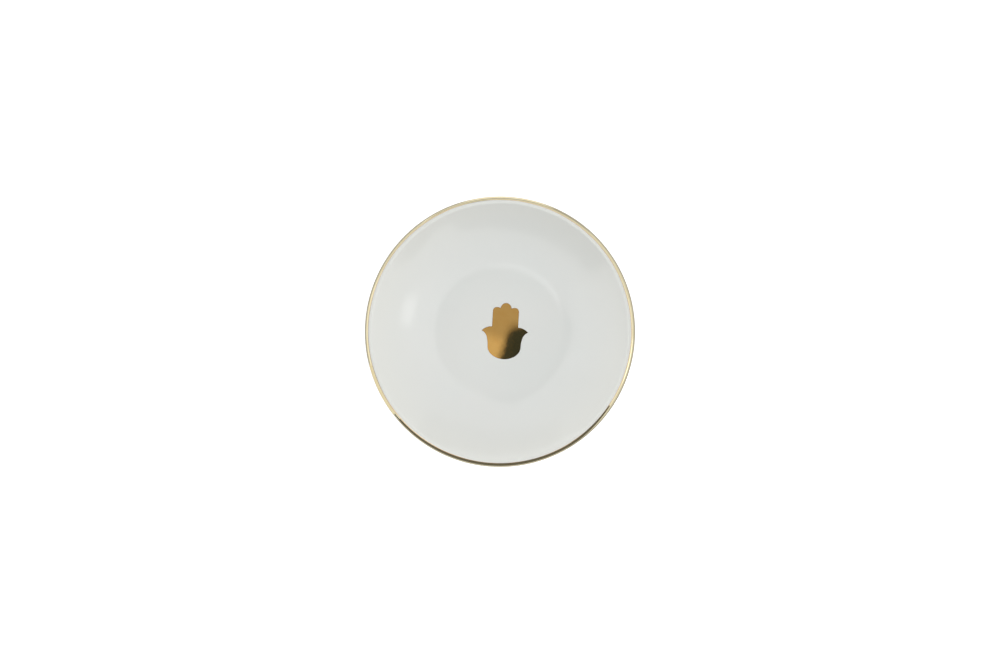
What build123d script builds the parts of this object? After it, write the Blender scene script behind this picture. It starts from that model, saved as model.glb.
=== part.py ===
from build123d import *
import math
import os

# Ring dish: a small round porcelain dish on a foot ring, clear glazed, with a gilded lip
# and a gilded open hand fired on the well. Lengths in millimetres, angles in degrees.
# The origin is on the table at the dish's axis, +Z is up, and the fingers point to +Y.

# Finished size
dish_diameter = 101.6  # over the gilded lip
dish_height = 20.0  # from the table to the top of the glazed lip

# Coats, each lying on the one before
glaze_thickness = 0.18
gilding_thickness = 0.10

# Bare porcelain
lip_thickness = 3.0
wall_thickness = 3.0  # where the wall leaves the well
floor_thickness = 3.2  # at the centre of the well

# Well: the dished floor, and its turn into the flared wall
well_diameter = 45.6
well_sag = 0.8
well_turn_radius = 18.0
wall_start_angle = 18.0

# Foot ring, which tapers from its root to the tread that it stands on
foot_diameter = 51.8
tread_width = 2.7
foot_outer_taper = 0.6
foot_inner_taper = 0.9
recess_depth = 2.0  # from the tread up to the underside of the floor
foot_root_radius = 1.2
recess_root_radius = 0.9
tread_edge_radius = 0.7

# Glaze line: the foot is wiped bare below this height before the glaze is fired
glaze_line_height = 1.0
glaze_edge_radius = 0.12

# Gilded line, measured outwards along the glaze from the top of the lip
gilding_start = 0.4
gilding_end = 3.2

# Gilded hand: its own upright outline, then how it was laid on the well
hand_height = 21.4
hand_span = 17.7  # from thumb tip to thumb tip
fingers_width = 9.95
middle_finger_width = 4.1
palm_width = 12.6
hand_offset_right = 1.85
hand_offset_up = 0.22
hand_turn = 3.2  # clockwise, seen from above

# Heights in the hand, as shares of its height from the heel of the palm
palm_side_share = 0.222
thumb_tip_share = 0.493
thumb_root_share = 0.574
finger_notch_share = 0.907
fingertip_share = 0.921
# An outer finger is highest this far across its width, from the middle finger
fingertip_across_share = 0.5
# The palm's side bends out to the thumb this far along the way to the thumb's tip
waist_across_share = 0.18
waist_up_share = 0.58

# How far cutting shapes run past what they cut
overrun = 1.0


def lip_centre():
    """Centre of the lip's round in the section."""
    glazed_radius = lip_thickness / 2 + glaze_thickness
    widest = dish_diameter / 2 - gilding_thickness
    return Vector(widest - glazed_radius, dish_height - glazed_radius)


def square_to(direction):
    """The direction turned a quarter turn to its left."""
    return Vector(-direction.Y, direction.X)


def wall_arc(start, direction, half_lip):
    """End and centre of the arc that leaves start along direction and runs smoothly into
    the lip's round. half_lip is positive for the inner wall and negative for the outer."""
    across = lip_centre() - start
    rise = across.dot(square_to(direction))
    radius = (across.dot(across) - half_lip**2) / (2 * (rise + half_lip))
    centre = start + square_to(direction) * radius
    return centre + (lip_centre() - centre).normalized() * radius, centre


def foot_root_on(wall_centre, wall_end):
    """Where the outer wall's arc, carried on inwards, meets the root of the foot."""
    radius = (wall_end - wall_centre).length
    root_x = foot_diameter / 2 + foot_outer_taper
    drop = math.sqrt(radius**2 - (root_x - wall_centre.X) ** 2)
    return Vector(root_x, wall_centre.Y - drop)


def bare_section():
    """Half section of the bare porcelain: X is the distance from the axis, and Y is up."""
    well_radius = well_diameter / 2
    floor_radius = (well_radius**2 + well_sag**2) / (2 * well_sag)
    floor_angle = math.degrees(math.asin(well_radius / floor_radius))
    floor_top = Vector(0, recess_depth + floor_thickness)

    floor = JernArc(floor_top, (1, 0), floor_radius, floor_angle)
    turn = JernArc(floor @ 1, floor % 1, well_turn_radius, wall_start_angle - floor_angle)
    inner_start, direction = turn @ 1, turn % 1
    inner_end, _ = wall_arc(inner_start, direction, lip_thickness / 2)
    outer_start = inner_start - square_to(direction) * wall_thickness
    outer_end, outer_centre = wall_arc(outer_start, direction, -lip_thickness / 2)
    foot_root = foot_root_on(outer_centre, outer_end)
    tread_outer = Vector(foot_diameter / 2, 0)
    tread_inner = tread_outer - Vector(tread_width, 0)
    recess_root = tread_inner + Vector(-foot_inner_taper, recess_depth)

    inner_wall = TangentArc(inner_start, inner_end, tangent=direction)
    lip = TangentArc(inner_end, outer_end, tangent=inner_wall % 1)
    outer_wall = TangentArc(outer_end, foot_root, tangent=lip % 1)
    foot = Polyline(foot_root, tread_outer, tread_inner, recess_root, (0, recess_depth), floor_top)
    section = make_face([floor, turn, inner_wall, lip, outer_wall, *foot.edges()])

    rounded_corners = [
        (foot_root, foot_root_radius),
        (tread_outer, tread_edge_radius),
        (tread_inner, tread_edge_radius),
        (recess_root, recess_root_radius),
    ]
    for corner, radius in rounded_corners:
        section = fillet(section.vertices().sort_by_distance(corner)[0], radius)
    return section


def block(left, right, low, high):
    """A rectangle in the section, between two distances from the axis and two heights."""
    width, height = right - left, high - low
    return Pos(left + width / 2, low + height / 2) * Rectangle(width, height)


def recess_window():
    """The recess inside the foot ring, from the glaze line up to the floor's underside."""
    tread_middle = (foot_diameter - tread_width) / 2
    return block(0, tread_middle, glaze_line_height, recess_depth)


def bowl_window():
    """All that's above the glaze line, apart from the recess."""
    above = block(0, dish_diameter / 2 + overrun, glaze_line_height, dish_height + overrun)
    return above - recess_window()


def gilded_lip_window():
    """A sector about the lip's centre that spans the gilded line."""
    centre = lip_centre()
    glazed_radius = lip_thickness / 2 + glaze_thickness
    start = math.degrees(gilding_start / glazed_radius)
    end = math.degrees(gilding_end / glazed_radius)
    reach = glazed_radius + gilding_thickness + overrun
    rim = CenterArc(centre, reach, 90 - start, start - end)
    return make_face([Line(centre, rim @ 0), rim, Line(rim @ 1, centre)])


def ease_glaze_edge(coat, free_side):
    """Rounds the lowest corner of the glaze's section that stands off the porcelain.

    free_side is -1 where that corner is the one farthest from the axis, and 0 where nearest."""
    section = coat.face()
    lowest = section.vertices().group_by(Axis.Y)[0].sort_by(Axis.X)
    return section.fillet_2d(glaze_edge_radius, [lowest[free_side]])


def turned(section):
    """The solid that the section makes when it's turned round the dish's axis."""
    return revolve(Plane.XZ * section, Axis.Z)


def hand_outline():
    """Flat outline of the open hand, upright, with its middle at the origin."""
    heel = -hand_height / 2
    half_fingers, half_middle = fingers_width / 2, middle_finger_width / 2
    finger_width = half_fingers - half_middle

    fingertip = Vector(
        half_middle + finger_width * fingertip_across_share, heel + hand_height * fingertip_share
    )
    notch = Vector(half_middle, heel + hand_height * finger_notch_share)
    finger_side = Vector(half_fingers, fingertip.Y - (half_fingers - fingertip.X))
    thumb_root = Vector(half_fingers, heel + hand_height * thumb_root_share)
    thumb_tip = Vector(hand_span / 2, heel + hand_height * thumb_tip_share)
    palm_side = Vector(palm_width / 2, heel + hand_height * palm_side_share)
    flare = thumb_tip - palm_side
    waist = palm_side + Vector(flare.X * waist_across_share, flare.Y * waist_up_share)

    middle_finger = ThreePointArc(Vector(-notch.X, notch.Y), (0, hand_height / 2), notch)
    heel_of_palm = EllipticalCenterArc(
        (0, palm_side.Y), palm_side.X, palm_side.Y - heel, start_angle=180, arc_size=180
    )
    side_of_palm = TangentArc(palm_side, waist, tangent=(0, 1))
    right_side = [
        TangentArc(fingertip, notch, tangent=(-1, 0)),
        TangentArc(fingertip, finger_side, tangent=(1, 0)),
        Line(finger_side, thumb_root),
        TangentArc(thumb_root, thumb_tip, tangent=(1, 0)),
        TangentArc(waist, thumb_tip, tangent=side_of_palm % 1),
        side_of_palm,
    ]
    left_side = [edge.mirror(Plane.YZ) for edge in right_side]
    return make_face([middle_finger, *right_side, heel_of_palm, *left_side])


def gilded_hand(gilding):
    """The hand cut out of the gilding's thickness where it lies on the dished well."""
    well = block(0, well_diameter / 2, recess_depth + floor_thickness, dish_height)
    place = Pos(hand_offset_right, hand_offset_up) * Rot(Z=-hand_turn)
    return turned(gilding & well) & extrude(place * hand_outline(), dish_height)


def build():
    """Every sub-part by name."""
    bare = bare_section()
    glazed = offset(bare, glaze_thickness)
    glaze = glazed - bare
    gilding = offset(bare, glaze_thickness + gilding_thickness) - glazed
    return {
        "porcelain_body": turned(bare),
        "bowl_glaze": turned(ease_glaze_edge(glaze & bowl_window(), free_side=-1)),
        "recess_glaze": turned(ease_glaze_edge(glaze & recess_window(), free_side=0)),
        "gold_lip_band": turned(gilding & gilded_lip_window()),
        "gold_hand": gilded_hand(gilding),
    }


os.makedirs("parts", exist_ok=True)
for name, shape in build().items():
    export_step(shape, f"parts/{name}.step")
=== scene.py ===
"""Looks for the ring dish: clear glaze over porcelain, a gilded line on the lip and a gilded open hand.

The section is turned again from its sizes, finely enough for mirror-like gold, and strays from
true as a fired and hand-gilded dish does. Lengths are in metres."""

import math
from collections import namedtuple

import bmesh
import bpy
from bpy.props import FloatProperty, FloatVectorProperty, PointerProperty
from mathutils import Matrix, Vector, kdtree, noise


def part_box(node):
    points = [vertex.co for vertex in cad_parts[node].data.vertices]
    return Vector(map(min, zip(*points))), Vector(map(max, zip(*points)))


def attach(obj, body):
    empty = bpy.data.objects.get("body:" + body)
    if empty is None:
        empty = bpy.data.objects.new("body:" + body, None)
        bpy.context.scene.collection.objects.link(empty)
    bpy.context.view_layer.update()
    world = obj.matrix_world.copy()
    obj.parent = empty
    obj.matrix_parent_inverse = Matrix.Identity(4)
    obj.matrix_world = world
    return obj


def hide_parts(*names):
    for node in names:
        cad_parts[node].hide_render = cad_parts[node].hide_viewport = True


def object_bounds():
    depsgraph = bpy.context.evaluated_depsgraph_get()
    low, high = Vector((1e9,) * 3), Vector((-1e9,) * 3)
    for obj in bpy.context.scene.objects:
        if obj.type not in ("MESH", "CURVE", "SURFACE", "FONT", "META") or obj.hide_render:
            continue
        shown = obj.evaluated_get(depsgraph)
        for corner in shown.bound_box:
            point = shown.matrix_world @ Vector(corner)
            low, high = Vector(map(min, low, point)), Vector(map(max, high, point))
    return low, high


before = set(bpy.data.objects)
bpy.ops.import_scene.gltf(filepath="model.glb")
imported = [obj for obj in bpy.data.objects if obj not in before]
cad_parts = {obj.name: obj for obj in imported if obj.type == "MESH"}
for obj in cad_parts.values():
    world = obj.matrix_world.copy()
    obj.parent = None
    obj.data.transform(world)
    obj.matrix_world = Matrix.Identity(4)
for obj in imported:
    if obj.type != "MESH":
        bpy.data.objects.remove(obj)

bl_info = {
    "name": "Ring Dish",
    "version": (1, 0, 0),
    "blender": (4, 5, 0),
    "location": "3D View > Sidebar > Ring Dish",
    "description": "Glazes and gilds a small porcelain ring dish around its construction model",
    "category": "Object",
}

MM = 0.001
DOWN = -math.pi / 2
CAD_BOX = [list(corner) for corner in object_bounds()]
_, RIM_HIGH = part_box("gold_lip_band")
_, RECESS_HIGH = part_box("recess_glaze")
GLAZE_LOW, GLAZE_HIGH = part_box("bowl_glaze")
_, BARE_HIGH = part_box("porcelain_body")

# The photograph's size, and where the dish's rim lies in it, in pixels
PHOTO_WIDTH, PHOTO_HEIGHT = 1000, 667
RIM_CENTRE_X, RIM_CENTRE_Y, RIM_RADIUS = 499.5, 331.19, 135.38

# Meshes: sections round the dish, steps along large arcs, the widest turn of a small arc's step,
# the turn from which an edge is sharp, and how near points are the same
AROUND = 288
SPACING = 0.9 * MM
ARC_STEP = math.radians(5)
SHARP_EDGE = math.radians(50)
SAME_POINT = 1e-4 * MM

# Middle of the side where the gilded line starts farther in, and how its start's tremble compares
# with its end's
LINE_SWELL_BEARING = math.radians(-40)
START_TREMBLE_SHARE = 0.25


class RingDishShape(bpy.types.PropertyGroup):
    """Sizes of the turned section, as the construction model has them."""

    rim_radius: FloatProperty(
        name="Rim radius", description="Over the gilded lip", unit="LENGTH", default=RIM_HIGH.x)
    rim_height: FloatProperty(
        name="Rim height", description="From the table to the top of the glazed lip", unit="LENGTH",
        default=GLAZE_HIGH.z)
    glaze: FloatProperty(
        name="Glaze thickness", description="Clear glaze on the porcelain", unit="LENGTH",
        default=GLAZE_HIGH.z - BARE_HIGH.z)
    gilding: FloatProperty(
        name="Gilding thickness", description="Gold on the glaze", unit="LENGTH",
        default=RIM_HIGH.x - GLAZE_HIGH.x)
    lip: FloatProperty(
        name="Lip thickness", description="Bare porcelain at the lip", unit="LENGTH", default=3.0 * MM)
    wall: FloatProperty(
        name="Wall thickness", description="Bare wall where it leaves the well", unit="LENGTH",
        default=3.0 * MM)
    floor: FloatProperty(
        name="Floor thickness", description="Bare floor at the middle of the well", unit="LENGTH",
        default=3.2 * MM)
    well_radius: FloatProperty(
        name="Well radius", description="Where the floor starts to turn up", unit="LENGTH",
        default=22.8 * MM)
    well_sag: FloatProperty(
        name="Well sag", description="How much lower the well's middle is than its edge",
        unit="LENGTH", default=0.8 * MM)
    well_turn: FloatProperty(
        name="Well turn", description="Radius of the turn from floor to wall", unit="LENGTH",
        default=18.0 * MM)
    wall_start: FloatProperty(
        name="Wall start", description="Slope of the wall where it leaves the well",
        subtype="ANGLE", default=math.radians(18))
    recess: FloatProperty(
        name="Recess depth", description="From the tread up to the underside of the floor",
        unit="LENGTH", default=RECESS_HIGH.z)
    foot_radius: FloatProperty(
        name="Foot radius", description="Outer edge of the foot's tread", unit="LENGTH",
        default=25.9 * MM)
    tread: FloatProperty(
        name="Tread width", description="Width of the ring that the dish stands on", unit="LENGTH",
        default=2.7 * MM)
    outer_taper: FloatProperty(
        name="Outer taper", description="How much wider the foot is at its root", unit="LENGTH",
        default=0.6 * MM)
    inner_taper: FloatProperty(
        name="Inner taper", description="How much narrower the recess is at its root",
        unit="LENGTH", default=0.9 * MM)
    foot_root: FloatProperty(
        name="Foot root", description="Radius of the turn from wall to foot", unit="LENGTH",
        default=1.2 * MM)
    recess_root: FloatProperty(
        name="Recess root", description="Radius of the turn inside the foot", unit="LENGTH",
        default=0.9 * MM)
    tread_edge: FloatProperty(
        name="Tread edge", description="Radius of the tread's two edges", unit="LENGTH",
        default=0.7 * MM)
    glaze_line: FloatProperty(
        name="Glaze line", description="Height where the glaze ends on the foot", unit="LENGTH",
        default=GLAZE_LOW.z)


class RingDishHand(bpy.types.PropertyGroup):
    """Outline of the gilded hand, and how it lies on the well."""

    height: FloatProperty(
        name="Height", description="From the heel to the middle finger's tip", unit="LENGTH",
        default=21.4 * MM)
    span: FloatProperty(
        name="Span", description="From thumb tip to thumb tip", unit="LENGTH", default=17.7 * MM)
    fingers: FloatProperty(
        name="Fingers width", description="Across the three fingers", unit="LENGTH",
        default=9.95 * MM)
    middle_finger: FloatProperty(
        name="Middle finger width", description="Across the middle finger", unit="LENGTH",
        default=4.1 * MM)
    palm: FloatProperty(
        name="Palm width", description="Across the palm above its heel", unit="LENGTH",
        default=12.6 * MM)
    right: FloatProperty(
        name="Offset right", description="From the dish's axis, towards +X", unit="LENGTH",
        default=1.85 * MM)
    up: FloatProperty(
        name="Offset up", description="From the dish's axis, towards +Y", unit="LENGTH",
        default=0.22 * MM)
    turn: FloatProperty(
        name="Turn", description="Clockwise, seen from above", subtype="ANGLE",
        default=math.radians(3.2))


class RingDishMaking(bpy.types.PropertyGroup):
    """How far the fired and gilded dish strays from true."""

    sag: FloatProperty(
        name="Rim sag", description="How far the rim's lowest stretches have sunk", unit="LENGTH",
        default=0.07 * MM)
    ovality: FloatProperty(
        name="Ovality", description="How much the rim is out of round", unit="LENGTH",
        default=0.10 * MM)
    sag_bearing: FloatProperty(
        name="Sag bearing", description="Direction of a lowest stretch", subtype="ANGLE",
        default=math.radians(70))
    ripple: FloatProperty(
        name="Ripple", description="Height of the slow waves in the surface", unit="LENGTH",
        default=0.010 * MM)
    ripple_length: FloatProperty(
        name="Ripple length", description="Distance between the slow waves", unit="LENGTH",
        default=14.0 * MM)
    glaze_line_waver: FloatProperty(
        name="Glaze line waver", description="How far the wiped edge of the glaze wanders",
        unit="LENGTH", default=0.25 * MM)
    line_start: FloatProperty(
        name="Gilt line start", description="Where the gilded line starts, outwards from the lip's top",
        unit="LENGTH", default=0.32 * MM)
    line_end: FloatProperty(
        name="Gilt line end", description="Where the gilded line ends, outwards from the lip's top",
        unit="LENGTH", default=3.2 * MM)
    line_swell: FloatProperty(
        name="Gilt line swell",
        description="How far the line's start strays, in on one side and out on the other",
        unit="LENGTH", default=0.12 * MM)
    line_tremble: FloatProperty(
        name="Gilt line tremble", description="How unsteady the line's lower edge is",
        unit="LENGTH", default=0.22 * MM)
    film_edge: FloatProperty(
        name="Film edge", description="Width over which the gilding's colour thins out", unit="LENGTH",
        default=0.14 * MM)
    line_rise: FloatProperty(
        name="Gilt line rise", description="Width over which the line gains its full thickness",
        unit="LENGTH", default=1.6 * MM)
    thin_film: FloatProperty(
        name="Thin film", description="Thickness of the hand, and of the line where it starts",
        unit="LENGTH", default=0.05 * MM)


class RingDishFinish(bpy.types.PropertyGroup):
    """Colours and gloss of the glaze, the bare clay and the gold."""

    glaze_colour: FloatVectorProperty(
        name="Glaze colour", description="White clay seen through the clear glaze", subtype="COLOR",
        size=3, min=0, max=1, default=(0.79, 0.80, 0.772))
    pooled_colour: FloatVectorProperty(
        name="Pooled colour", description="Glaze where it lies thicker", subtype="COLOR",
        size=3, min=0, max=1, default=(0.775, 0.80, 0.775))
    thin_glaze_colour: FloatVectorProperty(
        name="Thin glaze colour", description="Glaze where it has run thin towards the lip",
        subtype="COLOR", size=3, min=0, max=1, default=(0.803, 0.81, 0.769))
    glaze_roughness: FloatProperty(
        name="Glaze roughness", description="Lower is glossier", subtype="FACTOR", min=0, max=1,
        default=0.10)
    clay_colour: FloatVectorProperty(
        name="Clay colour", description="Bare fired clay on the tread", subtype="COLOR",
        size=3, min=0, max=1, default=(0.74, 0.715, 0.66))
    worn_clay_colour: FloatVectorProperty(
        name="Worn clay colour", description="Tread where it has rubbed on tables",
        subtype="COLOR", size=3, min=0, max=1, default=(0.52, 0.49, 0.44))
    gold_colour: FloatVectorProperty(
        name="Gold colour", description="Fired gold of the hand", subtype="COLOR",
        size=3, min=0, max=1, default=(0.94, 0.56, 0.17))
    line_gold_colour: FloatVectorProperty(
        name="Line gold colour", description="Paler fired gold of the lip's line", subtype="COLOR",
        size=3, min=0, max=1, default=(0.66, 0.60, 0.415))
    thin_gold_colour: FloatVectorProperty(
        name="Thin gold colour", description="Gold where the film thins out at its edge",
        subtype="COLOR", size=3, min=0, max=1, default=(0.62, 0.36, 0.16))
    gold_roughness: FloatProperty(
        name="Gold roughness", description="Lower is glossier", subtype="FACTOR", min=0, max=1,
        default=0.035)


class RingDishStage(bpy.types.PropertyGroup):
    """Table, light and camera."""

    lens: FloatProperty(
        name="Lens", description="Focal length of the camera", unit="CAMERA", default=85.0)
    sensor: FloatProperty(
        name="Sensor", description="Width of the camera's sensor", unit="CAMERA", default=36.0)
    table_radius: FloatProperty(
        name="Table radius", description="Reach of the pale table", unit="LENGTH", default=3.0)
    table_shade: FloatProperty(
        name="Table shade", description="Share of light that the table sends back", subtype="FACTOR",
        min=0, max=1, default=0.70)
    table_glow: FloatProperty(
        name="Table glow", description="Brightness added to the table where the camera sees it",
        min=0, default=0.7)
    zenith_light: FloatProperty(
        name="Zenith light", description="Even light from straight above", min=0, default=0.25)
    side_light: FloatProperty(
        name="Side light", description="Even light from all round", min=0, default=1.075)
    horizon_light: FloatProperty(
        name="Horizon light", description="Even light level with the table", min=0, default=0.92)


SETTINGS = {
    "ring_dish_shape": RingDishShape,
    "ring_dish_hand": RingDishHand,
    "ring_dish_making": RingDishMaking,
    "ring_dish_finish": RingDishFinish,
    "ring_dish_stage": RingDishStage,
}


def heading(angle):
    """Flat direction at an angle."""
    return Vector((math.cos(angle), math.sin(angle)))


def bearing(direction):
    """Angle of a flat direction."""
    return math.atan2(direction.y, direction.x)


def left_of(direction):
    """The flat direction turned a quarter turn to its left."""
    return Vector((-direction.y, direction.x))


def straight(start, end):
    """Points from start to end, the last one left out."""
    count = math.ceil((end - start).length / SPACING)
    return [start.lerp(end, step / count) for step in range(count)]


def rounded(corner, before, after, radius):
    """Points of the round on a corner, between sides that come from before and go to after."""
    arriving, leaving = (corner - before).normalized(), (after - corner).normalized()
    turn = math.atan2(arriving.cross(leaving), arriving.dot(leaving))
    start = corner - arriving * radius * math.tan(abs(turn) / 2)
    inwards = left_of(arriving) * math.copysign(radius, turn)
    count = math.ceil(abs(turn) / ARC_STEP)
    first = bearing(-inwards)
    return [start + inwards + radius * heading(first + turn * step / count) for step in range(count + 1)]


class Arc:
    """A round stretch of the section. A coat makes it larger where swell is 1 and smaller where -1."""

    def __init__(self, centre, radius, start, end, swell):
        self.centre, self.radius, self.start, self.end, self.swell = centre, radius, start, end, swell

    def points(self, coat):
        """Points along the arc on top of a coat."""
        sweep = self.end - self.start
        count = max(math.ceil(abs(sweep) * self.radius / SPACING), math.ceil(abs(sweep) / ARC_STEP))
        radius = self.radius + self.swell * coat
        return [self.centre + radius * heading(self.start + sweep * step / count)
                for step in range(count + 1)]


class Section:
    """Half section of the bare dish. Points are (distance from the axis, height)."""

    def __init__(self, shape):
        self.shape = shape
        glazed = shape.lip / 2 + shape.glaze
        self.lip_centre = Vector((shape.rim_radius - shape.gilding - glazed, shape.rim_height - glazed))

        floor_radius = (shape.well_radius**2 + shape.well_sag**2) / (2 * shape.well_sag)
        floor_centre = Vector((0, shape.recess + shape.floor + floor_radius))
        floor_end = DOWN + math.asin(shape.well_radius / floor_radius)
        self.floor = Arc(floor_centre, floor_radius, DOWN, floor_end, -1)

        wall_start = DOWN + shape.wall_start
        turn_centre = floor_centre + heading(floor_end) * (floor_radius - shape.well_turn)
        turn = Arc(turn_centre, shape.well_turn, floor_end, wall_start, -1)

        half_lip = shape.lip / 2
        inner_start = turn_centre + heading(wall_start) * shape.well_turn
        outer_start = inner_start + heading(wall_start) * shape.wall
        inner_centre, inner_radius = self.wall_circle(inner_start, half_lip)
        outer_centre, outer_radius = self.wall_circle(outer_start, -half_lip)
        lip_inside = bearing(self.lip_centre - inner_centre)
        lip_outside = bearing(self.lip_centre - outer_centre)
        inner_wall = Arc(inner_centre, inner_radius, wall_start, lip_inside, -1)
        lip = Arc(self.lip_centre, half_lip, lip_inside + math.pi, lip_outside, 1)

        self.tread_outer = Vector((shape.foot_radius, 0))
        self.tread_inner = Vector((shape.foot_radius - shape.tread, 0))
        self.recess_corner = self.tread_inner + Vector((-shape.inner_taper, shape.recess))
        foot_corner = Vector((shape.foot_radius + shape.outer_taper, outer_centre.y))
        foot_corner.y -= math.sqrt(outer_radius**2 - (foot_corner.x - outer_centre.x) ** 2)
        self.outer_down = (self.tread_outer - foot_corner).normalized()
        self.inner_down = (self.tread_inner - self.recess_corner).normalized()
        self.outwards, self.inwards = left_of(self.outer_down), -left_of(self.inner_down)

        # The round at the foot's root lies beside the foot and touches the wall's arc from outside
        beside = foot_corner + self.outwards * shape.foot_root - outer_centre
        along = beside.dot(self.outer_down)
        reach = outer_radius + shape.foot_root
        travel = math.sqrt(along**2 - beside.length_squared + reach**2) - along
        root_centre = outer_centre + beside + self.outer_down * travel
        outer_wall = Arc(outer_centre, outer_radius, lip_outside, bearing(root_centre - outer_centre), 1)
        foot_root = Arc(
            root_centre, shape.foot_root, bearing(outer_centre - root_centre),
            bearing(-self.outwards), -1)
        self.foot_side = root_centre - self.outwards * shape.foot_root
        self.arcs = [self.floor, turn, inner_wall, lip, outer_wall, foot_root]

    def wall_circle(self, start, half_lip):
        """Centre and radius of the arc that leaves start at the wall's slope and runs into the lip."""
        left = left_of(heading(self.shape.wall_start))
        across = self.lip_centre - start
        radius = (across.length_squared - half_lip**2) / (2 * (across.dot(left) + half_lip))
        return start + left * radius, radius

    def bowl(self, coat):
        """Points on top of a coat, from the axis over the lip to the root of the foot."""
        points = []
        for arc in self.arcs:
            points += arc.points(coat)[1 if points else 0:]
        return points

    def recess(self, coat):
        """Points on top of a coat, from the axis along the recess's ceiling and round its root."""
        ceiling = Vector((0, -1))
        corner = self.recess_corner + (ceiling + self.inwards) * coat / (1 + ceiling.dot(self.inwards))
        middle = Vector((0, corner.y))
        root = rounded(corner, middle, corner + self.inner_down, self.shape.recess_root - coat)
        return straight(middle, root[0]) + root

    def clay(self):
        """The whole bare section, closed along the axis."""
        edge = self.shape.tread_edge
        tread = rounded(self.tread_outer, self.foot_side, self.tread_inner, edge)
        tread += rounded(self.tread_inner, self.tread_outer, self.recess_corner, edge)
        return self.bowl(0) + tread + self.recess(0)[::-1]

    def glaze_end(self, above, down, off, height):
        """The glaze's rounded end on a side of the foot, down to where it meets the clay."""
        end = above + down * (above.y - height) / -down.y
        coat = self.shape.glaze
        count = math.ceil(math.pi / 2 / ARC_STEP / 2)
        turns = [math.pi / 2 * step / count for step in range(count + 1)]
        return [end - down * coat * (1 - math.sin(turn)) + off * coat * math.cos(turn) for turn in turns]

    def bowl_glaze(self, height):
        """The bowl's glaze down to a height on the foot, closed along the clay."""
        end = self.glaze_end(self.foot_side, self.outer_down, self.outwards, height)
        return self.bowl(self.shape.glaze) + end + self.bowl(0)[::-1]

    def recess_glaze(self, height):
        """The recess's glaze down to a height on the foot, closed along the clay."""
        clay = self.recess(0)
        end = self.glaze_end(clay[-1], self.inner_down, self.inwards, height)
        return self.recess(self.shape.glaze) + end + clay[::-1]

    def floor_height(self, distance, coat):
        """Height of the well's dished floor on top of a coat."""
        radius = self.floor.radius - coat
        return self.floor.centre.y - math.sqrt(radius**2 - distance**2)


def settled(point, shape, making):
    """The point as the fired dish has it: a slightly oval, sagged rim and slow waves, all in or down."""
    x, y, z = point
    reach = math.hypot(x, y) / shape.rim_radius
    swing = (1 - math.cos(2 * (math.atan2(y, x) - making.sag_bearing))) / 2
    squeeze = 1 - making.ovality / shape.rim_radius * swing * reach**2
    # This noise has its waves about two units apart
    wave = (1 + noise.noise(Vector((x, y, 0)) / making.ripple_length * 2)) / 2
    lowered = making.sag * (1 - swing) * reach**4 + making.ripple * wave
    # The tread stays on the table
    return Vector((x * squeeze, y * squeeze, z - lowered * min(1, z / shape.recess)))


def wander(angle, turns, seed):
    """A slow unsteady number between -1 and 1 that closes on itself round the dish."""
    return noise.noise(Vector((*heading(angle) * turns, seed)))


def added(name, data):
    """A new object in the scene with this mesh or camera."""
    made = bpy.data.objects.new(name, data)
    bpy.context.scene.collection.objects.link(made)
    return made


def skinned(name, loops, covers=None):
    """A closed mesh over closed loops of points that follow each other round. covers gives each
    point's share of a film's full thickness."""
    count = len(loops[0])
    faces = []
    for here, loop in enumerate(loops):
        there = (here + 1) % len(loops)
        for step in range(count):
            after = (step + 1) % count
            if loop[step] != loops[there][step] or loop[after] != loops[there][after]:
                faces.append((here * count + step, here * count + after,
                              there * count + after, there * count + step))
    mesh = bpy.data.meshes.new(name)
    mesh.from_pydata([point for loop in loops for point in loop], [], faces)
    if covers:
        kept = mesh.attributes.new("film_cover", "FLOAT", "POINT")
        kept.data.foreach_set("value", [cover for row in covers for cover in row])
    work = bmesh.new()
    work.from_mesh(mesh)
    bmesh.ops.remove_doubles(work, verts=work.verts, dist=SAME_POINT)
    bmesh.ops.recalc_face_normals(work, faces=work.faces)
    work.to_mesh(mesh)
    work.free()
    mesh.shade_smooth()
    mesh.set_sharp_from_angle(angle=SHARP_EDGE)
    return added(name, mesh)


def turned(name, shape, making, section_at):
    """A closed piece turned round the axis. section_at gives its closed section at an angle."""
    loops = []
    for step in range(AROUND):
        angle = 2 * math.pi * step / AROUND
        across = heading(angle)
        loops.append([settled((*across * distance, height), shape, making)
                      for distance, height in section_at(angle)])
    return skinned(name, loops)


def eased(distance, width):
    """A smooth rise from 0 to 1 over a width."""
    share = min(distance / width, 1)
    return share * share * (3 - 2 * share)


def film_fringe(width):
    """Distances in from a film's edge, over the width where its colour thins out."""
    count = 5
    return [width * step / count for step in range(count)]


def film_bottom(shape):
    """How high a film's underside lies off the clay, a little under the glaze's surface."""
    sunk = shape.gilding / 5
    return shape.glaze - sunk


def settings_of(scene):
    """The dish's shape, making and finish."""
    return scene.ring_dish_shape, scene.ring_dish_making, scene.ring_dish_finish


def dress(piece, material, slot, *nodes):
    """Gives a new piece its material and its body, and hides the nodes that it stands for. The slot argument
    is not used.
    """
    piece.data.materials.append(material)
    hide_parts(*nodes)
    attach(piece, "root")


# Heights in the hand, as shares of its height from the heel of the palm
PALM_SIDE_SHARE = 0.222
THUMB_TIP_SHARE = 0.493
THUMB_ROOT_SHARE = 0.574
FINGER_NOTCH_SHARE = 0.907
FINGERTIP_SHARE = 0.921
# The palm's side bends out to the thumb this far along the way to the thumb's tip
WAIST_ACROSS_SHARE, WAIST_UP_SHARE = 0.18, 0.58
# The point that all of the hand's outline can be seen from, below the hand's middle
HAND_MIDDLE_SHARE = 0.45


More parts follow.
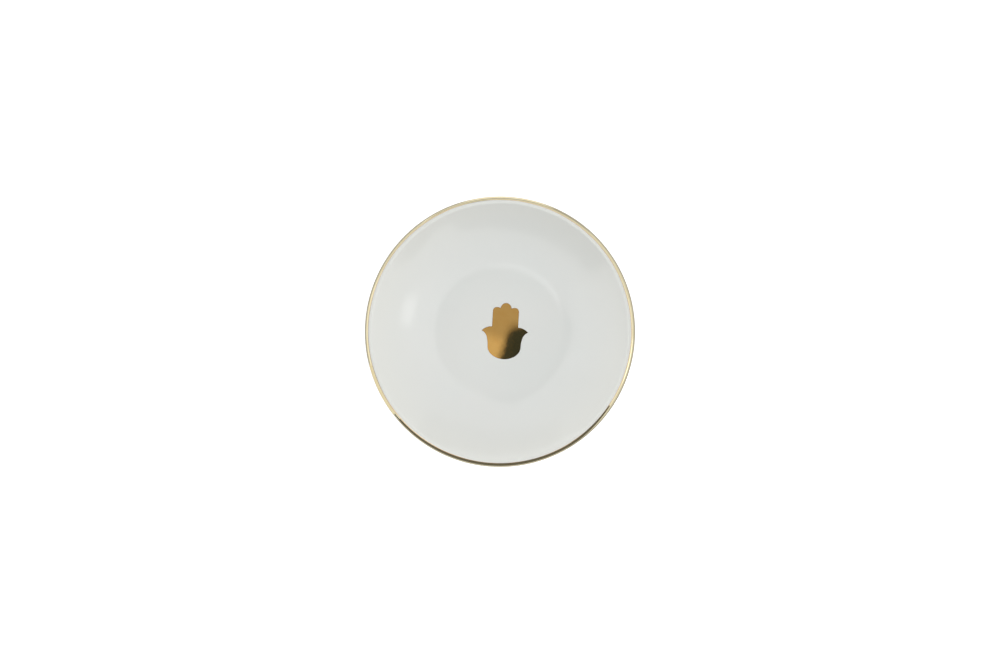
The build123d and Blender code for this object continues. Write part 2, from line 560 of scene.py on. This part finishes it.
def bend(start, end, direction, spacing):
    """Points from start to end on the arc that leaves start along direction, and its last direction."""
    chord, left = end - start, left_of(direction)
    inwards = left * chord.length_squared / (2 * chord.dot(left))
    sweep = 2 * math.atan2(direction.cross(chord), direction.dot(chord))
    count = max(2, math.ceil(abs(sweep) * inwards.length / spacing))
    points = [start + inwards + Matrix.Rotation(sweep * step / count, 2) @ -inwards
              for step in range(count + 1)]
    return points, Matrix.Rotation(sweep, 2) @ direction


def hand_outline(hand, spacing):
    """The open hand's outline as it lies on the well, and the point that it's drawn round."""
    across, upwards = Vector((1, 0)), Vector((0, 1))
    heel, top = Vector((0, -hand.height / 2)), Vector((0, hand.height / 2))
    half_middle, half_fingers = hand.middle_finger / 2, hand.fingers / 2
    finger = half_fingers - half_middle
    notch = heel + Vector((half_middle, hand.height * FINGER_NOTCH_SHARE))
    fingertip = heel + Vector((half_middle + finger / 2, hand.height * FINGERTIP_SHARE))
    finger_side = Vector((half_fingers, fingertip.y - finger / 2))
    thumb_root = heel + Vector((half_fingers, hand.height * THUMB_ROOT_SHARE))
    thumb_tip = heel + Vector((hand.span / 2, hand.height * THUMB_TIP_SHARE))
    palm_side = heel + Vector((hand.palm / 2, hand.height * PALM_SIDE_SHARE))
    flare = thumb_tip - palm_side
    waist = palm_side + Vector((flare.x * WAIST_ACROSS_SHARE, flare.y * WAIST_UP_SHARE))
    side_of_palm, leaving = bend(palm_side, waist, upwards, spacing)

    count = math.ceil(math.pi / 2 * palm_side.x / spacing)
    quarters = [math.pi / 2 * step / count for step in range(count + 1)]
    rise = palm_side.y - heel.y
    heel_of_palm = [Vector((palm_side.x * math.sin(q), palm_side.y - rise * math.cos(q))) for q in quarters]
    side_count = math.ceil((finger_side - thumb_root).length / spacing)

    stretches = [
        heel_of_palm,
        side_of_palm,
        bend(waist, thumb_tip, leaving, spacing)[0],
        bend(thumb_root, thumb_tip, across, spacing)[0][::-1],
        [thumb_root.lerp(finger_side, step / side_count) for step in range(side_count + 1)],
        bend(fingertip, finger_side, across, spacing)[0][::-1],
        bend(fingertip, notch, -across, spacing)[0],
        bend(top, notch, across, spacing)[0][::-1],
    ]
    right = [point for stretch in stretches for point in stretch[:-1]]
    left = [Vector((-point.x, point.y)) for point in right[1:]]
    laid = Matrix.Rotation(-hand.turn, 2)
    place = Vector((hand.right, hand.up))
    middle = Vector((0, hand.height * (HAND_MIDDLE_SHARE - 0.5)))
    return [place + laid @ point for point in right + [top] + left[::-1]], place + laid @ middle


def wire(tree, node, sockets):
    """Sets a node's inputs, by name or number, to values or links them to outputs."""
    for key, value in sockets.items():
        if isinstance(value, bpy.types.NodeSocket):
            tree.links.new(value, node.inputs[key])
        else:
            node.inputs[key].default_value = value


def put(tree, kind, sockets=None, **settings):
    """Adds a node with its settings and inputs."""
    made = tree.nodes.new(kind)
    for key, value in settings.items():
        setattr(made, key, value)
    wire(tree, made, sockets or {})
    return made


def sum_up(tree, operation, *values):
    """The result of a sum on numbers or on outputs that give numbers."""
    return put(tree, "ShaderNodeMath", dict(enumerate(values)), operation=operation).outputs[0]


def ranged(tree, value, start, end, low=0.0, high=1.0, kind="LINEAR"):
    """A number that goes from low to high while a value goes from start to end."""
    return put(tree, "ShaderNodeMapRange", {
        "Value": value, "From Min": start, "From Max": end, "To Min": low, "To Max": high},
        interpolation_type=kind).outputs[0]


def dot(tree, first, second):
    """How far the first direction goes along the second."""
    return put(tree, "ShaderNodeVectorMath", {0: first, 1: second}, operation="DOT_PRODUCT").outputs["Value"]


def uneven(tree, size, **sockets):
    """A number that drifts over the surface of the object, in patches of a size."""
    place = put(tree, "ShaderNodeTexCoord").outputs["Object"]
    scale = sum_up(tree, "DIVIDE", 1.0, size)
    return put(tree, "ShaderNodeTexNoise", {"Vector": place, "Scale": scale, **sockets}).outputs["Fac"]


def blended(tree, share, first, second, how="MIX"):
    """The colour between two colours. A colour mix has its sockets behind those for numbers."""
    node = put(tree, "ShaderNodeMix", {0: share, 6: first, 7: second}, data_type="RGBA", blend_type=how)
    return node.outputs[2]


def opaque(rgb):
    """A colour socket's four numbers."""
    return (*rgb, 1.0)


def shared_group(tree, name, inputs, output, fill, **settings):
    """Places the named shader group and gives what it puts out. The group is built the first time
    that it's asked for. inputs holds each input's name, kind and value, and output a name and kind."""
    group = bpy.data.node_groups.get(name)
    if group is None:
        group = bpy.data.node_groups.new(name, "ShaderNodeTree")
        for label, kind, value in inputs:
            group.interface.new_socket(label, in_out="INPUT", socket_type=kind).default_value = value
        label, kind = output
        group.interface.new_socket(label, in_out="OUTPUT", socket_type=kind)
        result = fill(group, group.nodes.new("NodeGroupInput").outputs)
        put(group, "NodeGroupOutput", {label: result})
    values = {label: value for label, _, value in inputs}
    return put(tree, "ShaderNodeGroup", values, node_tree=group, **settings).outputs[0]


def cloudy_tone(tree, colour, second, size, amount):
    """A colour that drifts towards a second one in soft clouds of a size."""

    def fill(group, given):
        clouds = uneven(group, given["Size"], Detail=3.0)
        share = ranged(group, clouds, start=0.35, end=0.65, high=given["Amount"])
        return blended(group, share, given["Colour"], given["Second Colour"])

    return shared_group(tree, "Cloudy Tone", [
        ("Colour", "NodeSocketColor", opaque(colour)),
        ("Second Colour", "NodeSocketColor", opaque(second)),
        ("Size", "NodeSocketFloat", size),
        ("Amount", "NodeSocketFloat", amount)], ("Colour", "NodeSocketColor"), fill)


def relief(tree, size, detail):
    """Heights of a fine uneven surface, with bumps of a size."""

    def fill(group, given):
        return uneven(group, given["Size"], Detail=given["Detail"])

    return shared_group(tree, "Fine Relief", [
        ("Size", "NodeSocketFloat", size),
        ("Detail", "NodeSocketFloat", detail)], ("Height", "NodeSocketFloat"), fill)


def handled(tree, smooth, scuffed, size):
    """Roughness of a glossy surface with faint smears and scuffs of a size."""

    def fill(group, given):
        smears = uneven(group, given["Size"], Detail=5.0, Roughness=0.6, Distortion=1.2)
        return ranged(
            group, smears, start=0.45, end=0.75, low=given["Smooth"], high=given["Scuffed"],
            kind="SMOOTHSTEP")

    return shared_group(tree, "Handling Marks", [
        ("Smooth", "NodeSocketFloat", smooth),
        ("Scuffed", "NodeSocketFloat", scuffed),
        ("Size", "NodeSocketFloat", size)], ("Roughness", "NodeSocketFloat"), fill)


def new_material(name, sockets=None):
    """A new material, its tree and its Principled shader with sockets set."""
    material = bpy.data.materials.new(name)
    material.use_nodes = True
    tree = material.node_tree
    tree.nodes.clear()
    shader = put(tree, "ShaderNodeBsdfPrincipled", sockets)
    put(tree, "ShaderNodeOutputMaterial", {"Surface": shader.outputs[0]})
    return material, tree, shader


def finish_with(tree, shader, colour, roughness, height, depth):
    """Links a shader to its colour and roughness, and to heights that stand for a depth."""
    bump = put(tree, "ShaderNodeBump", {"Height": height, "Distance": depth}).outputs[0]
    wire(tree, shader, {"Base Color": colour, "Roughness": roughness, "Normal": bump})


def clear_glaze(finish):
    """White clay under glossy clear glaze, which pools a little greener and is thin near the lip."""
    if "Clear Glaze" in bpy.data.materials:
        return bpy.data.materials["Clear Glaze"]
    material, tree, shader = new_material("Clear Glaze", {"IOR": 1.5})
    clouds = cloudy_tone(tree, finish.glaze_colour, finish.pooled_colour, size=26 * MM, amount=0.5)
    place = put(tree, "ShaderNodeTexCoord").outputs["Object"]
    height = put(tree, "ShaderNodeSeparateXYZ", {0: place}).outputs["Z"]
    thins_from, thin_at = 8 * MM, 17 * MM
    thinness = ranged(tree, height, thins_from, thin_at)
    colour = blended(tree, thinness, clouds, opaque(finish.thin_glaze_colour))
    smooth = finish.glaze_roughness
    roughness = handled(tree, smooth, scuffed=1.6 * smooth, size=9 * MM)
    waves = relief(tree, size=3.5 * MM, detail=1.0)
    finish_with(tree, shader, colour, roughness, waves, depth=0.006 * MM)
    return material


def bare_clay(finish):
    """Matte fired clay with a fine grain, a few dark specks and grey rubbing on the tread."""
    material, tree, shader = new_material("Bare Clay")
    clay = cloudy_tone(tree, finish.clay_colour, finish.worn_clay_colour, size=4 * MM, amount=0.35)
    place = put(tree, "ShaderNodeTexCoord").outputs["Object"]
    speck_spacing = 2.2 * MM
    specks = put(tree, "ShaderNodeTexVoronoi", {"Vector": place, "Scale": 1 / speck_spacing})
    # A speck fades out between these shares of the spacing from its middle
    near = ranged(tree, specks.outputs["Distance"], start=0.03, end=0.07, low=0.6, high=0.0)
    specked = blended(tree, near, clay, opaque(finish.worn_clay_colour), "MULTIPLY")
    roughness = handled(tree, smooth=0.62, scuffed=0.8, size=3 * MM)
    grain = relief(tree, size=0.25 * MM, detail=3.0)
    finish_with(tree, shader, specked, roughness, grain, depth=0.03 * MM)
    return material


# Share of its red, green and blue that gold keeps where it has fired warmer
WARMER_SHARES = (0.97, 0.92, 0.84)


def fired_gold(name, finish, colour, unevenness):
    """Bright fired gold, darker where the film thins out, with faint unevenness of a size."""
    material, tree, shader = new_material(name, {"Metallic": 1.0})
    warm = tuple(tone * share for tone, share in zip(colour, WARMER_SHARES))
    body = cloudy_tone(tree, colour, warm, size=3 * MM, amount=0.6)
    cover = put(tree, "ShaderNodeAttribute", attribute_name="film_cover").outputs["Fac"]
    full = ranged(tree, cover, start=0.25, end=0.95)
    shaded = blended(tree, full, opaque(finish.thin_gold_colour), body)
    smooth = finish.gold_roughness
    roughness = handled(tree, smooth, scuffed=1.7 * smooth, size=2.5 * MM)
    strokes = relief(tree, size=unevenness, detail=2.0)
    finish_with(tree, shader, shaded, roughness, strokes, depth=0.0015 * MM)
    return material


# Colour of the sky where nothing lights it, and how high its even light changes from the horizon's
# to the sides' and from there to the zenith's, as shares of straight up
DIMMEST_SKY = (0.04, 0.06, 0.09)
SIDE_FROM_SHARE, SIDE_TO_SHARE, ZENITH_FROM_SHARE = 0.3, 0.92, 0.965

# Soft lights and dark things round the dish: where each stands, half its width and height and the
# width of its soft border, all in degrees, how bright it is, and how far it's rolled, in degrees
SoftLight = namedtuple(
    "SoftLight", "name azimuth elevation half_width half_height border radiance roll", defaults=[0])
SOFT_LIGHTS = [
    SoftLight("camera", 121, 77.5, 6.8, 5, 4, -3.6, 44),
    SoftLight("camera stand", 142, 70, 22, 7.2, 4, -1.2),
    SoftLight("ceiling", 0, 90, 3.5, 3.5, 1.5, 0.2),
    SoftLight("ceiling lamp", 70, 88, 1, 0.6, 1.2, 0.2),
    SoftLight("overhead panel", 240, 70, 9, 6, 6, 0.8),
    SoftLight("front shade", 252, 8, 36, 18, 8, -1.2),
    SoftLight("window", 347, 36, 5, 3, 5, 1.6),
    SoftLight("window wall", 350, 52, 16, 12, 8, 0.25),
    SoftLight("left shade", 192, 58, 12, 6, 6, -0.3),
    SoftLight("left reflector", 183, 33, 19, 19, 7, 0.27),
    SoftLight("far strip", 96, 3, 27, 3, 5, 1.3),
    SoftLight("dark corner", 85, 18, 32, 11, 8, -0.45),
]

# Brighter stretches of the table, which only mirroring surfaces see: where each lies round the
# dish, half its width and the width of its soft border, all in degrees, and how bright it is
TableStretch = namedtuple("TableStretch", "azimuth half_width border glow")
TABLE_STRETCHES = [TableStretch(258, 39, 5, 0.17), TableStretch(87, 10, 12, 0.62)]

# Sides of the table, and how far it lies under the tread
TABLE_SIDES = 96
TABLE_GAP = 0.02 * MM

# Cards bent round the dish, which only its glaze and gold mirror: how far each stands from the
# axis, how bright it is, and along it its azimuths in degrees and its lower and upper edges in mm
CARD_COLOUR = (1, 0.96, 0.88)
RimCard = namedtuple("RimCard", "name distance glow edges")
RIM_CARDS = [
    RimCard("front_card", 60 * MM, 0.19, [
        (221, 18, 31), (232, 18, 34), (240, 18.5, 38), (255, 19.3, 46), (270, 19.3, 48),
        (285, 19.3, 48), (300, 19.3, 40), (308, 20, 45), (316, 23.5, 52), (326, 28, 44)]),
    RimCard("left_card", 60 * MM, 1.15, [(194, 6, 29), (218, 6, 29)]),
]


def soft_light(tree, light):
    """Brightness that one soft light adds to the sky."""

    def fill(group, given):
        sky = put(group, "ShaderNodeTexCoord").outputs["Generated"]
        # Kept above zero, so that nothing shows behind the light either
        ahead = sum_up(group, "MAXIMUM", dot(group, sky, given["Facing"]), 1e-4)
        shares = []
        for axis, half in (("Across", "Half Width"), ("Upwards", "Half Height")):
            off = sum_up(group, "ABSOLUTE", sum_up(group, "DIVIDE", dot(group, sky, given[axis]), ahead))
            edge = sum_up(group, "ADD", given[half], given["Border"])
            shares.append(ranged(group, off, given[half], edge, 1.0, 0.0, "SMOOTHSTEP"))
        shown = sum_up(group, "MULTIPLY", *shares)
        return sum_up(group, "MULTIPLY", shown, given["Radiance"])

    turn = math.radians(light.azimuth)
    lift = math.radians(light.elevation)
    facing = Vector((*heading(turn) * math.cos(lift), math.sin(lift)))
    across = Matrix.Rotation(math.radians(light.roll), 3, facing) @ Vector((*left_of(heading(turn)), 0))
    spreads = {"Half Width": light.half_width, "Half Height": light.half_height, "Border": light.border}
    return shared_group(tree, "Soft Light", [
        ("Facing", "NodeSocketVector", facing),
        ("Across", "NodeSocketVector", across),
        ("Upwards", "NodeSocketVector", facing.cross(across)),
        *[(label, "NodeSocketFloat", math.tan(math.radians(spread))) for label, spread in spreads.items()],
        ("Radiance", "NodeSocketFloat", light.radiance)],
        ("Radiance", "NodeSocketFloat"), fill, label=light.name)


def studio_sky(stage):
    """Soft light from all round. The camera itself sees plain white behind the table."""
    world = bpy.data.worlds.new("Studio")
    world.use_nodes = True
    tree = world.node_tree
    tree.nodes.clear()
    sky = put(tree, "ShaderNodeTexCoord").outputs["Generated"]
    height = put(tree, "ShaderNodeSeparateXYZ", {0: sky}).outputs["Z"]
    side = ranged(tree, height, 0.0, SIDE_FROM_SHARE, stage.horizon_light, stage.side_light, "SMOOTHSTEP")
    total = ranged(tree, height, SIDE_TO_SHARE, ZENITH_FROM_SHARE, side, stage.zenith_light, "SMOOTHSTEP")
    for light in SOFT_LIGHTS:
        total = sum_up(tree, "ADD", total, soft_light(tree, light))
    lit = put(tree, "ShaderNodeVectorMath", {0: total, 1: DIMMEST_SKY}, operation="MAXIMUM").outputs[0]
    seen = put(tree, "ShaderNodeLightPath").outputs["Is Camera Ray"]
    shown = blended(tree, seen, lit, opaque((1, 1, 1)))
    background = put(tree, "ShaderNodeBackground", {"Color": shown})
    put(tree, "ShaderNodeOutputWorld", {"Surface": background.outputs[0]})
    return world


def mirrored_glow(tree):
    """Brightness that the table's stretches add to it, by where they lie round the dish."""
    place = put(tree, "ShaderNodeTexCoord").outputs["Object"]
    flat = put(tree, "ShaderNodeVectorMath", {0: place}, operation="NORMALIZE").outputs[0]
    total = 0.0
    for stretch in TABLE_STRETCHES:
        along = dot(tree, flat, (*heading(math.radians(stretch.azimuth)), 0))
        outside = math.cos(math.radians(stretch.half_width + stretch.border))
        inside = math.cos(math.radians(stretch.half_width))
        glow = ranged(tree, along, outside, inside, high=stretch.glow, kind="SMOOTHSTEP")
        total = sum_up(tree, "ADD", total, glow)
    return total


def table_material(stage):
    """A pale matte table, lifted to white for the camera alone and clear from below."""
    material, tree, shader = new_material("Pale Table", {
        "Emission Color": opaque((1, 1, 1)), "Roughness": 0.9, "Specular IOR Level": 0.0})
    rays = put(tree, "ShaderNodeLightPath").outputs
    shade = stage.table_shade
    tone = cloudy_tone(tree, (shade,) * 3, (0.98 * shade,) * 3, size=0.4, amount=0.5)
    lifted = sum_up(tree, "MULTIPLY", rays["Is Camera Ray"], stage.table_glow)
    mirrored = sum_up(tree, "MULTIPLY", rays["Is Glossy Ray"], mirrored_glow(tree))
    wire(tree, shader, {"Base Color": tone, "Emission Strength": sum_up(tree, "ADD", lifted, mirrored)})
    below = put(tree, "ShaderNodeNewGeometry").outputs["Backfacing"]
    clear = put(tree, "ShaderNodeBsdfTransparent").outputs[0]
    seen_from_below = sum_up(tree, "MULTIPLY", rays["Is Camera Ray"], below)
    surface = put(tree, "ShaderNodeMixShader", {0: seen_from_below, 1: shader.outputs[0], 2: clear})
    wire(tree, tree.nodes["Material Output"], {"Surface": surface.outputs[0]})
    return material


def stage_strip(name, material, pairs):
    """A part of the stage: a strip of faces between pairs of points that follow each other."""
    mesh = bpy.data.meshes.new(name)
    corners = [point for pair in pairs for point in pair]
    faces = [(first, first + 1, first + 3, first + 2) for first in range(0, len(corners) - 2, 2)]
    mesh.from_pydata(corners, [], faces)
    mesh.materials.append(material)
    made = added(name, mesh)
    return made


def rim_card(card):
    """A card that only mirroring surfaces see."""
    edges = []
    for before, after in zip(card.edges, card.edges[1:]):
        count = math.ceil((after[0] - before[0]) / math.degrees(ARC_STEP))
        for step in range(count):
            edges.append([start + (end - start) * step / count for start, end in zip(before, after)])
    edges.append(card.edges[-1])
    pairs = []
    for azimuth, low, high in edges:
        flat = heading(math.radians(azimuth)) * card.distance
        pairs.append([(*flat, low * MM), (*flat, high * MM)])
    material, _, _ = new_material(card.name, {
        "Base Color": opaque((0, 0, 0)), "Specular IOR Level": 0.0,
        "Emission Color": opaque(CARD_COLOUR), "Emission Strength": card.glow})
    made = stage_strip(card.name, material, pairs)
    for sense in ("camera", "diffuse", "transmission", "volume_scatter", "shadow"):
        setattr(made, f"visible_{sense}", False)


def glaze_coat(scene, name, node, section_down_to, turns, seed):
    """A coat of clear glaze that ends in a wavering line on the foot. section_down_to gives its
    closed section down to a height."""
    shape, making, finish = settings_of(scene)
    section = Section(shape)

    def glaze_at(angle):
        waver = making.glaze_line_waver * (1 + wander(angle, turns, seed)) / 2
        return section_down_to(section, shape.glaze_line + waver)

    piece = turned(name, shape, making, glaze_at)
    dress(piece, clear_glaze(finish), "glaze", node)


class RINGDISH_OT_turn_body(bpy.types.Operator):
    """Turn the porcelain body, bare on its tread"""

    bl_idname = "ringdish.turn_body"
    bl_label = "Turn the Body"

    def execute(self, context):
        shape, making, finish = settings_of(context.scene)
        clay = Section(shape).clay()
        piece = turned("bisque_body", shape, making, lambda angle: clay)
        dress(piece, bare_clay(finish), "porcelain", "porcelain_body")
        return {"FINISHED"}


class RINGDISH_OT_glaze_bowl(bpy.types.Operator):
    """Glaze the bowl inside and out, down to the glaze line on the foot"""

    bl_idname = "ringdish.glaze_bowl"
    bl_label = "Glaze the Bowl"

    def execute(self, context):
        glaze_coat(context.scene, "bowl_glaze_coat", "bowl_glaze", Section.bowl_glaze, turns=3, seed=0.5)
        return {"FINISHED"}


class RINGDISH_OT_glaze_recess(bpy.types.Operator):
    """Glaze the recess inside the foot ring"""

    bl_idname = "ringdish.glaze_recess"
    bl_label = "Glaze the Recess"

    def execute(self, context):
        glaze_coat(
            context.scene, "recess_glaze_coat", "recess_glaze", Section.recess_glaze, turns=2, seed=7.5)
        return {"FINISHED"}


class RINGDISH_OT_gild_lip(bpy.types.Operator):
    """Gild the lip with a line drawn by hand, a little unsteady at both edges"""

    bl_idname = "ringdish.gild_lip"
    bl_label = "Gild the Lip"

    def execute(self, context):
        shape, making, finish = settings_of(context.scene)
        section = Section(shape)
        glazed = shape.lip / 2 + shape.glaze
        fringe = film_fringe(making.film_edge)
        across_steps = 40
        loops, covers = [], []
        for step in range(AROUND):
            angle = 2 * math.pi * step / AROUND
            # The start strays in over a broad side, and farther out over a narrow one
            round_from_swell = angle - LINE_SWELL_BEARING
            swell = making.line_swell * (math.cos(round_from_swell) - math.cos(2 * round_from_swell) / 3)
            tremble = making.line_tremble * START_TREMBLE_SHARE * wander(angle, turns=9, seed=2.5)
            start = making.line_start - swell + tremble
            width = making.line_end + making.line_tremble * wander(angle, turns=5, seed=4.5) - start
            middle = [making.film_edge + (width - 2 * making.film_edge) * part / across_steps
                      for part in range(across_steps + 1)]
            stations = fringe + middle + [width - reach for reach in reversed(fringe)]
            leans = [math.pi / 2 - (start + reach) / glazed for reach in stations]
            rises = [making.thin_film + (shape.gilding - making.thin_film) * eased(reach, making.line_rise)
                     for reach in stations]
            top = [section.lip_centre + heading(lean) * (glazed + rise)
                   for lean, rise in zip(leans, rises)]
            bottom = [section.lip_centre + heading(lean) * (shape.lip / 2 + film_bottom(shape))
                      for lean in leans]
            loops.append([settled((*heading(angle) * point.x, point.y), shape, making)
                          for point in top + bottom[::-1]])
            shares = [eased(min(reach, width - reach), making.film_edge) for reach in stations]
            covers.append(shares + shares[::-1])
        piece = skinned("gilt_lip_line", loops, covers)
        gold = fired_gold("Gilt Line Gold", finish, finish.line_gold_colour, unevenness=0.9 * MM)
        dress(piece, gold, "gold", "gold_lip_band")
        return {"FINISHED"}


class RINGDISH_OT_gild_hand(bpy.types.Operator):
    """Lay the gilded open hand on the well"""

    bl_idname = "ringdish.gild_hand"
    bl_label = "Gild the Hand"

    def execute(self, context):
        shape, making, finish = settings_of(context.scene)
        section = Section(shape)
        hand = context.scene.ring_dish_hand
        outline, middle = hand_outline(hand, spacing=0.16 * MM)
        fine, _ = hand_outline(hand, spacing=0.02 * MM)
        edge = kdtree.KDTree(len(fine))
        for number, point in enumerate(fine):
            edge.insert((*point, 0), number)
        edge.balance()

        def laid(point, coat):
            height = section.floor_height(point.length, coat)
            return settled((*point, height), shape, making)

        rings = 22
        fringe = film_fringe(making.film_edge)
        loops, covers = [], []
        for point in outline:
            ray = middle - point
            inner = 1 - making.film_edge / ray.length
            parts = [1 - inner * ring / rings for ring in range(rings + 1)]
            parts += [reach / ray.length for reach in reversed(fringe)]
            line = [point + ray * part for part in parts]
            shares = [eased(edge.find((*spot, 0))[2], making.film_edge) for spot in line[:-1]] + [0]
            top = [laid(spot, shape.glaze + making.thin_film) for spot in line]
            bottom = [laid(spot, film_bottom(shape)) for spot in line]
            loops.append(top + bottom[::-1])
            covers.append(shares + shares[::-1])
        piece = skinned("gilt_hand", loops, covers)
        gold = fired_gold("Gilt Hand Gold", finish, finish.gold_colour, unevenness=1.6 * MM)
        dress(piece, gold, "gold", "gold_hand")
        return {"FINISHED"}


class RINGDISH_OT_set_stage(bpy.types.Operator):
    """Set the pale table, the soft light and the camera straight above the dish"""

    bl_idname = "ringdish.set_stage"
    bl_label = "Set the Stage"

    def execute(self, context):
        scene = context.scene
        stage, shape = scene.ring_dish_stage, scene.ring_dish_shape
        # The table is open under the recess, so that light and a view from below reach it
        opening = shape.foot_radius - shape.tread_edge
        corners = [heading(2 * math.pi * step / TABLE_SIDES) for step in range(TABLE_SIDES + 1)]
        pairs = [[(*corner * opening, 0), (*corner * stage.table_radius, 0)] for corner in corners]
        table = stage_strip("pale_table", table_material(stage), pairs)
        table.location.z = CAD_BOX[0][2] - TABLE_GAP
        for card in RIM_CARDS:
            rim_card(card)
        scene.world = studio_sky(stage)
        scene.view_settings.view_transform = "Standard"

        rim_widest = Section(shape).lip_centre.y
        pixel = shape.rim_radius / RIM_RADIUS
        lens = bpy.data.cameras.new("overhead_camera")
        lens.lens, lens.sensor_width = stage.lens, stage.sensor
        lens.clip_end = 4 * stage.table_radius
        camera = added("overhead_camera", lens)
        camera.location = (
            ((PHOTO_WIDTH - 1) / 2 - RIM_CENTRE_X) * pixel,
            (RIM_CENTRE_Y - (PHOTO_HEIGHT - 1) / 2) * pixel,
            rim_widest + pixel * PHOTO_WIDTH * stage.lens / stage.sensor)
        scene.camera = camera
        return {"FINISHED"}


OPERATORS = [
    RINGDISH_OT_turn_body,
    RINGDISH_OT_glaze_bowl,
    RINGDISH_OT_glaze_recess,
    RINGDISH_OT_gild_lip,
    RINGDISH_OT_gild_hand,
    RINGDISH_OT_set_stage,
]


class RINGDISH_PT_sidebar(bpy.types.Panel):
    """Steps that dress the ring dish, in order"""

    bl_label = "Ring Dish"
    bl_space_type = "VIEW_3D"
    bl_region_type = "UI"
    bl_category = "Ring Dish"

    def draw(self, context):
        for operator in OPERATORS:
            self.layout.operator(operator.bl_idname)
        for name in SETTINGS:
            settings = getattr(context.scene, name)
            box = self.layout.box()
            for key in settings.bl_rna.properties.keys():
                if key not in {"rna_type", "name"}:
                    box.prop(settings, key)


CLASSES = [*SETTINGS.values(), *OPERATORS, RINGDISH_PT_sidebar]


def register():
    """Adds the settings, the steps and their panel."""
    for made in CLASSES:
        bpy.utils.register_class(made)
    for name, settings in SETTINGS.items():
        setattr(bpy.types.Scene, name, PointerProperty(type=settings))


def unregister():
    """Takes away what register added."""
    for name in SETTINGS:
        delattr(bpy.types.Scene, name)
    for made in reversed(CLASSES):
        bpy.utils.unregister_class(made)


def main():
    """Dresses the dish step by step."""
    register()
    bpy.ops.ringdish.turn_body()
    bpy.ops.ringdish.glaze_bowl()
    bpy.ops.ringdish.glaze_recess()
    bpy.ops.ringdish.gild_lip()
    bpy.ops.ringdish.gild_hand()
    bpy.ops.ringdish.set_stage()


if __name__ == "__main__":
    main()
